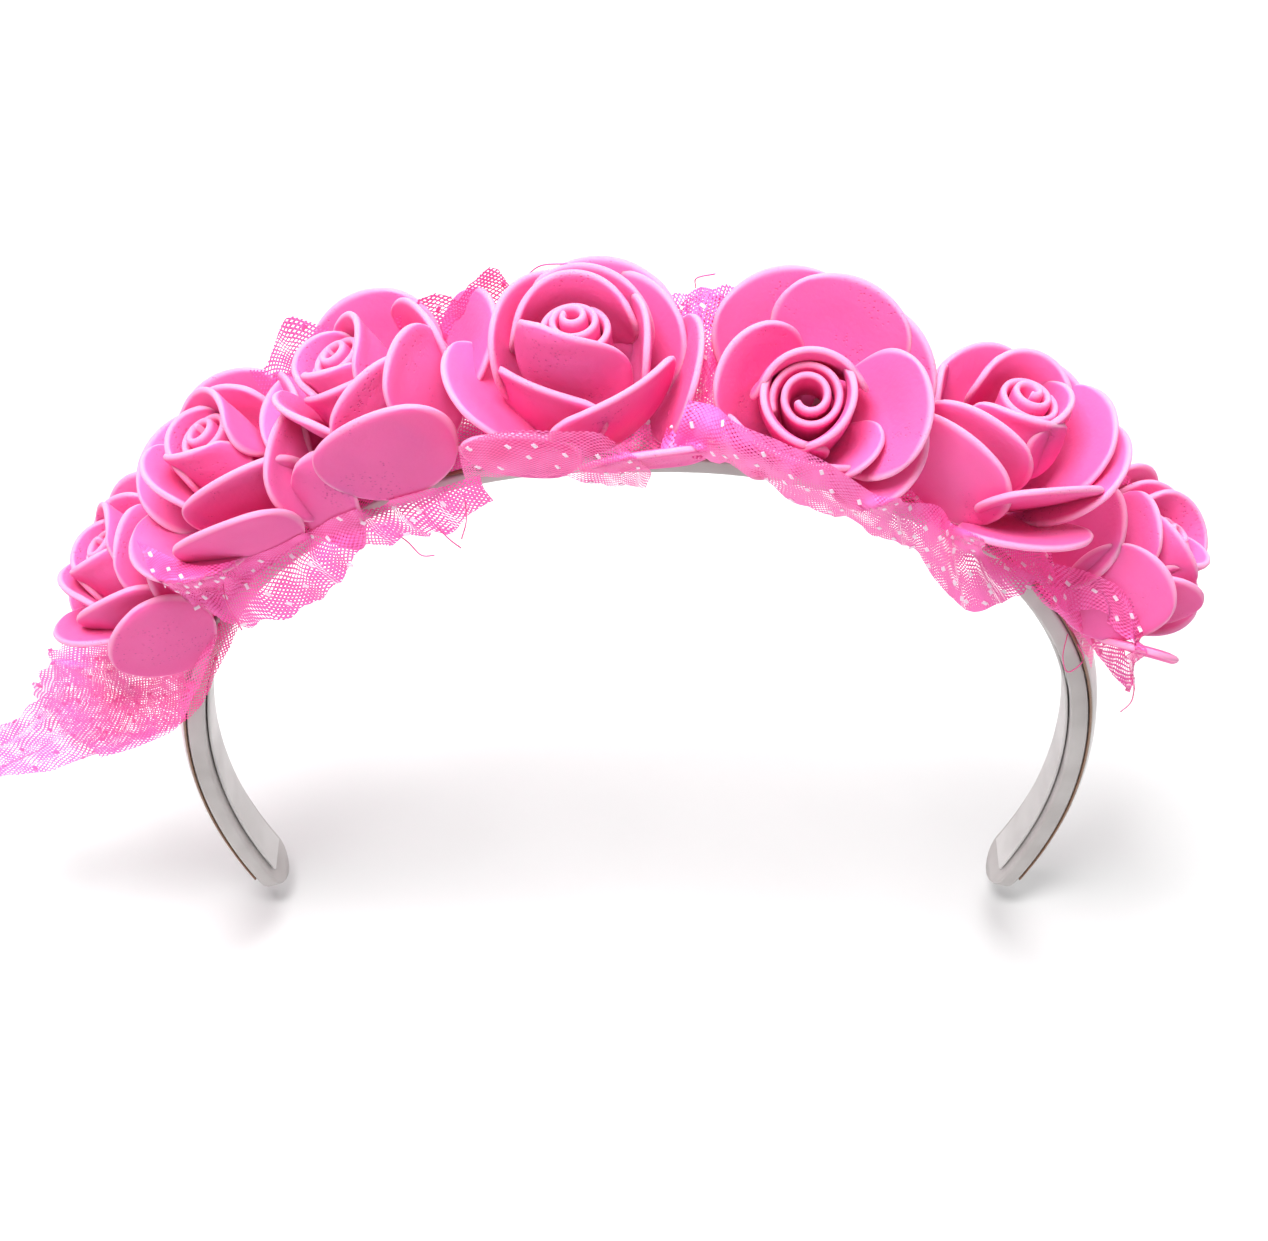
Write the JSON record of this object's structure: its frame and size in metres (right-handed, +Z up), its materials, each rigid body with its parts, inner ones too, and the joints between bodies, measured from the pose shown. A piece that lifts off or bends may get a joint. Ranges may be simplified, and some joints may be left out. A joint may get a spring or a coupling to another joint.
{
  "type": "flower crown",
  "caption": "Slim arched headband with a row of layered pink foam roses glued along its top over a gathered strip of dotted net that trails off at both ends.",
  "frame": {"origin": "middle of the crown on the band's inner face, where it rests on the top of the head", "axes": "+Z up out of the head, arms hang down -Z; +X along the arch to the wearer's left; -Y to the front"},
  "size_m": [0.2272, 0.0377, 0.1502],
  "materials": {
    "white_plastic": "smooth moulded white plastic with a soft gloss",
    "inner_plastic": "duller white plastic lining on the inner face",
    "dried_glue": "thin yellowed line of dried glue",
    "clear_glue": "cloudy hot-melt glue pad",
    "stem_plastic": "short moulded stem",
    "pink_net": "open net with small flocked dots, gathered and torn at its edges",
    "foam_outer": "matte EVA foam sheet with fine closed pores and soft rounded rims",
    "foam_middle": "matte EVA foam sheet with fine closed pores and soft rounded rims",
    "foam_inner": "matte EVA foam sheet with fine closed pores and soft rounded rims",
    "foam_bud": "rolled matte EVA foam sheet"
  },
  "bodies": {
    "root": {"band_core": "white_plastic", "outer_strip": "white_plastic", "inner_lining": "inner_plastic", "glue_seam_front": "dried_glue", "glue_seam_back": "dried_glue", "tulle_strip": "pink_net", "rose_1_glue_pad": "clear_glue", "rose_1_stem": "stem_plastic", "rose_1_outer_petals": "foam_outer", "rose_1_middle_petals": "foam_middle", "rose_1_inner_petals": "foam_inner", "rose_1_bud": "foam_bud", "rose_2_glue_pad": "clear_glue", "rose_2_stem": "stem_plastic", "rose_2_outer_petals": "foam_outer", "rose_2_middle_petals": "foam_middle", "rose_2_inner_petals": "foam_inner", "rose_2_bud": "foam_bud", "rose_3_glue_pad": "clear_glue", "rose_3_stem": "stem_plastic", "rose_3_outer_petals": "foam_outer", "rose_3_middle_petals": "foam_middle", "rose_3_inner_petals": "foam_inner", "rose_3_bud": "foam_bud", "rose_4_glue_pad": "clear_glue", "rose_4_stem": "stem_plastic", "rose_4_outer_petals": "foam_outer", "rose_4_middle_petals": "foam_middle", "rose_4_inner_petals": "foam_inner", "rose_4_bud": "foam_bud", "rose_5_glue_pad": "clear_glue", "rose_5_stem": "stem_plastic", "rose_5_outer_petals": "foam_outer", "rose_5_middle_petals": "foam_middle", "rose_5_inner_petals": "foam_inner", "rose_5_bud": "foam_bud", "rose_6_glue_pad": "clear_glue", "rose_6_stem": "stem_plastic", "rose_6_outer_petals": "foam_outer", "rose_6_middle_petals": "foam_middle", "rose_6_inner_petals": "foam_inner", "rose_6_bud": "foam_bud", "rose_7_glue_pad": "clear_glue", "rose_7_stem": "stem_plastic", "rose_7_outer_petals": "foam_outer", "rose_7_middle_petals": "foam_middle", "rose_7_inner_petals": "foam_inner", "rose_7_bud": "foam_bud"}
  },
  "joints": []
}
